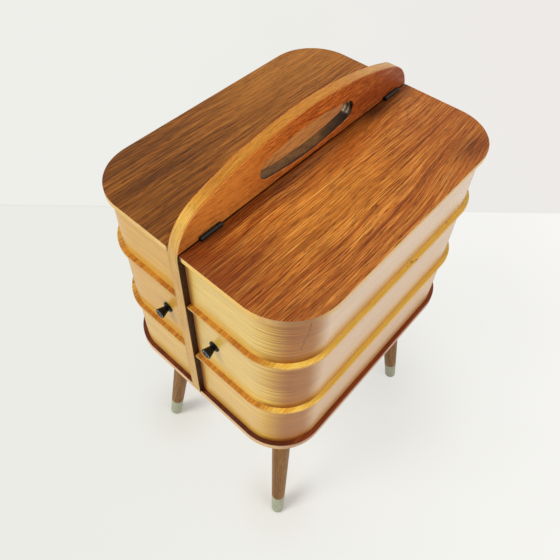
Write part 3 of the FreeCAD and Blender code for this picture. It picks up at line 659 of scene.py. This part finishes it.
for side in SIDES:
    dress("lid_veneer_" + side, LIDS[side])
    dress("lid_panel_" + side, PANEL_CORE)
    dress("centre_board_veneer_" + side, BOARD_FACE)
    for index, tier in enumerate(TIERS):
        dress(tier + "_wall_" + side, bentwood(side, index))
        dress(tier + "_inner_side_" + side, INNER_WOOD)
        if tier != "bottom_tray":
            dress(tier + "_floor_" + side, ledge_wood(tier + "_floor_" + side))
    dress("drawer_runner_" + side, RUNNER)
    dress("drawer_knob_" + side, BLACK_PLASTIC)
    dress("drawer_knob_ring_" + side, RING)
    for piece in ("drawer_knob_screw_", "tray_screws_", "runner_screws_"):
        dress(piece + side, STEEL)
    for piece in ("hinge_board_leaves_", "hinge_lid_leaves_", "hinge_pins_",
                  "hinge_board_screws_", "hinge_lid_screws_"):
        dress(piece + side, BLACK_STEEL)
for node, material in (("centre_board_core", BOARD_CORE), ("base_panel", BASE_CORE),
                       ("base_veneer", BASE_TOP), ("board_screws", STEEL), ("leg_studs", STEEL),
                       ("leg_plate_screws", STEEL), ("leg_plates", PLATE)):
    dress(node, material)
for index, corner in enumerate(CORNERS):
    dress("leg_" + corner, walnut(corner, index))
    dress("leg_tip_" + corner, SLEEVE)


# ---- Floor, light and camera ----------------------------------------------------------------
FLOOR_REACH = 30.0
FLOOR_GLOW = (0.72, 0.92)            # what part of the floor no shadow dims: under the box, far off
FOOT_GLOW = (0.20, 0.90)             # what part of that is left beside the front and back feet
BACKDROP_WAY = (-0.667, 0.745, 0)    # the floor changes its tone at the backdrop's foot
BACKDROP_FROM = 0.468
LEFT_TO_RIGHT = (0.745, 0.667, 0)
WORLD_LIGHT = (0.985, 0.99, 1.0, 1)
WORLD_STRENGTH = 0.46

CAMERA_ANGLES = (41.17, 48.42, 1.28)  # azimuth, elevation and roll in degrees
CAMERA_PLACE = (0.29098, MID_Y - 0.38285, 1.00193)
PICTURE = 560                        # pixels across
FOCAL_PIXELS = 571.26
AXIS_PIXELS = (271.88, 226.93)       # where the lens's axis meets the picture
SENSOR = 36.0


def seen_rays(tree):
    """1 for the rays of the camera, of reflections and of clear things, 0 for light's own."""
    path = tree.nodes.new("ShaderNodeLightPath")
    total = path.outputs["Is Camera Ray"]
    for ray in ("Is Glossy Ray", "Is Transmission Ray"):
        larger = tree.nodes.new("ShaderNodeMath")
        larger.operation = "MAXIMUM"
        tree.links.new(total, larger.inputs[0])
        tree.links.new(path.outputs[ray], larger.inputs[1])
        total = larger.outputs[0]
    return total


def floor_tones(paint):
    """Cool white to the left and warm to the right, with a faint seam where the backdrop starts."""
    past = paint.maths("SUBTRACT", paint.dot(paint.spot, BACKDROP_WAY), BACKDROP_FROM)
    cool = paint.fade(paint.dot(paint.spot, LEFT_TO_RIGHT), 0.9, -0.5)
    near = paint.mix(cool, srgb(250, 249, 246), srgb(236, 237, 231))
    far = paint.mix(cool, srgb(238, 235, 232), srgb(239, 240, 235))
    colour = paint.mix(paint.fade(past, -0.004, 0.004), near, far)
    seam = paint.fade(paint.absolute(past), 0.004, 0.001)
    dull = paint.noise(paint.spot, (0.5, 0.5, 0.5), 2.0, 0.5, 1.0)
    return paint.tint(colour, (seam, 0.25, (214, 215, 208)),
                      (paint.fade(dull, 0.3, 0.8), 0.12, (226, 226, 221)))


def floor():
    """Pale floor that glows, less so under the box and at the feet, where it keeps the shadow."""
    mesh = bpy.data.meshes.new("floor")
    corners = [(x * FLOOR_REACH, y * FLOOR_REACH, 0)
               for x, y in ((-1, -1), (1, -1), (1, 1), (-1, 1))]
    mesh.from_pydata(corners, [], [(0, 1, 2, 3)])
    plane = bpy.data.objects.new("floor", mesh)
    bpy.context.scene.collection.objects.link(plane)
    paint = Paint("floor", Roughness=0.6, Specular_IOR_Level=0.2)
    colour = floor_tones(paint)
    plane.data.materials.append(paint.finish(colour))

    tip_lo, tip_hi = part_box("leg_tip_front_right")
    foot = ((tip_lo.x + tip_hi.x) / 2, MID_Y - (tip_lo.y + tip_hi.y) / 2, 0)
    from_foot = paint.vector("SUBTRACT", paint.vector("ABSOLUTE", paint.spot), foot)
    kept = paint.fade(paint.y, -0.05, 0.05, *FOOT_GLOW)
    share = paint.times(paint.fade(paint.length(paint.spot), 0.16, 0.38, *FLOOR_GLOW),
                        paint.fade(paint.length(from_foot), 0.012, 0.085, kept, 1.0))
    tree = paint.tree
    glow = paint.node("ShaderNodeEmission", {"Color": colour})
    blend = paint.node("ShaderNodeMixShader", {0: paint.times(seen_rays(tree), share),
                                               1: paint.shader.outputs[0], 2: glow})
    tree.links.new(blend, tree.nodes["Material Output"].inputs["Surface"])


def towards(azimuth, elevation):
    """Way from the box to a lamp or camera: azimuth 0 is in front, 90 to the right."""
    a, e = math.radians(azimuth), math.radians(elevation)
    return Vector((math.sin(a) * math.cos(e), -math.cos(a) * math.cos(e), math.sin(e)))


def sun(name, azimuth, elevation, strength, angle, colour):
    """Sun that shines from that way. angle is how wide it looks, in degrees."""
    lamp = bpy.data.lights.new(name, "SUN")
    lamp.energy = strength
    lamp.angle = math.radians(angle)
    lamp.color = colour
    obj = bpy.data.objects.new(name, lamp)
    obj.rotation_euler = towards(azimuth, elevation).to_track_quat("Z", "Y").to_euler()
    bpy.context.scene.collection.objects.link(obj)


def world():
    """Soft light from all sides. What rays of sight meet of it is the backdrop's plain tone."""
    made = bpy.data.worlds.new("studio")
    bpy.context.scene.world = made
    made.use_nodes = True
    tree = made.node_tree
    light = tree.nodes["Background"]
    shown = tree.nodes.new("ShaderNodeBackground")
    for background, colour, strength in ((light, WORLD_LIGHT, WORLD_STRENGTH),
                                         (shown, srgb(240, 240, 237), 1.0)):
        background.inputs["Color"].default_value = colour
        background.inputs["Strength"].default_value = strength
    pick = tree.nodes.new("ShaderNodeMixShader")
    for socket, source in enumerate((seen_rays(tree), light.outputs[0], shown.outputs[0])):
        tree.links.new(source, pick.inputs[socket])
    tree.links.new(pick.outputs[0], tree.nodes["World Output"].inputs["Surface"])


def camera():
    azimuth, elevation, roll = CAMERA_ANGLES
    roll = math.radians(roll)
    back = towards(azimuth, elevation)
    right = Vector((0, 0, 1)).cross(back).normalized()
    up = back.cross(right)
    x = right * math.cos(roll) + up * math.sin(roll)
    y = up * math.cos(roll) - right * math.sin(roll)
    lens = bpy.data.cameras.new("camera")
    lens.sensor_width = SENSOR
    lens.lens = FOCAL_PIXELS / PICTURE * SENSOR
    lens.shift_x = (PICTURE / 2 - AXIS_PIXELS[0]) / PICTURE
    lens.shift_y = (AXIS_PIXELS[1] - PICTURE / 2) / PICTURE
    made = bpy.data.objects.new("camera", lens)
    turn = Matrix((x, y, back)).transposed().to_4x4()
    made.matrix_world = Matrix.Translation(CAMERA_PLACE) @ turn
    bpy.context.scene.collection.objects.link(made)
    bpy.context.scene.camera = made


floor()
world()
sun("key", -28, 52, 1.50, 20, (1.0, 0.985, 0.955))
sun("fill", 95, 42, 0.58, 40, (1.0, 0.99, 0.975))
camera()
bpy.context.scene.view_settings.view_transform = "Standard"
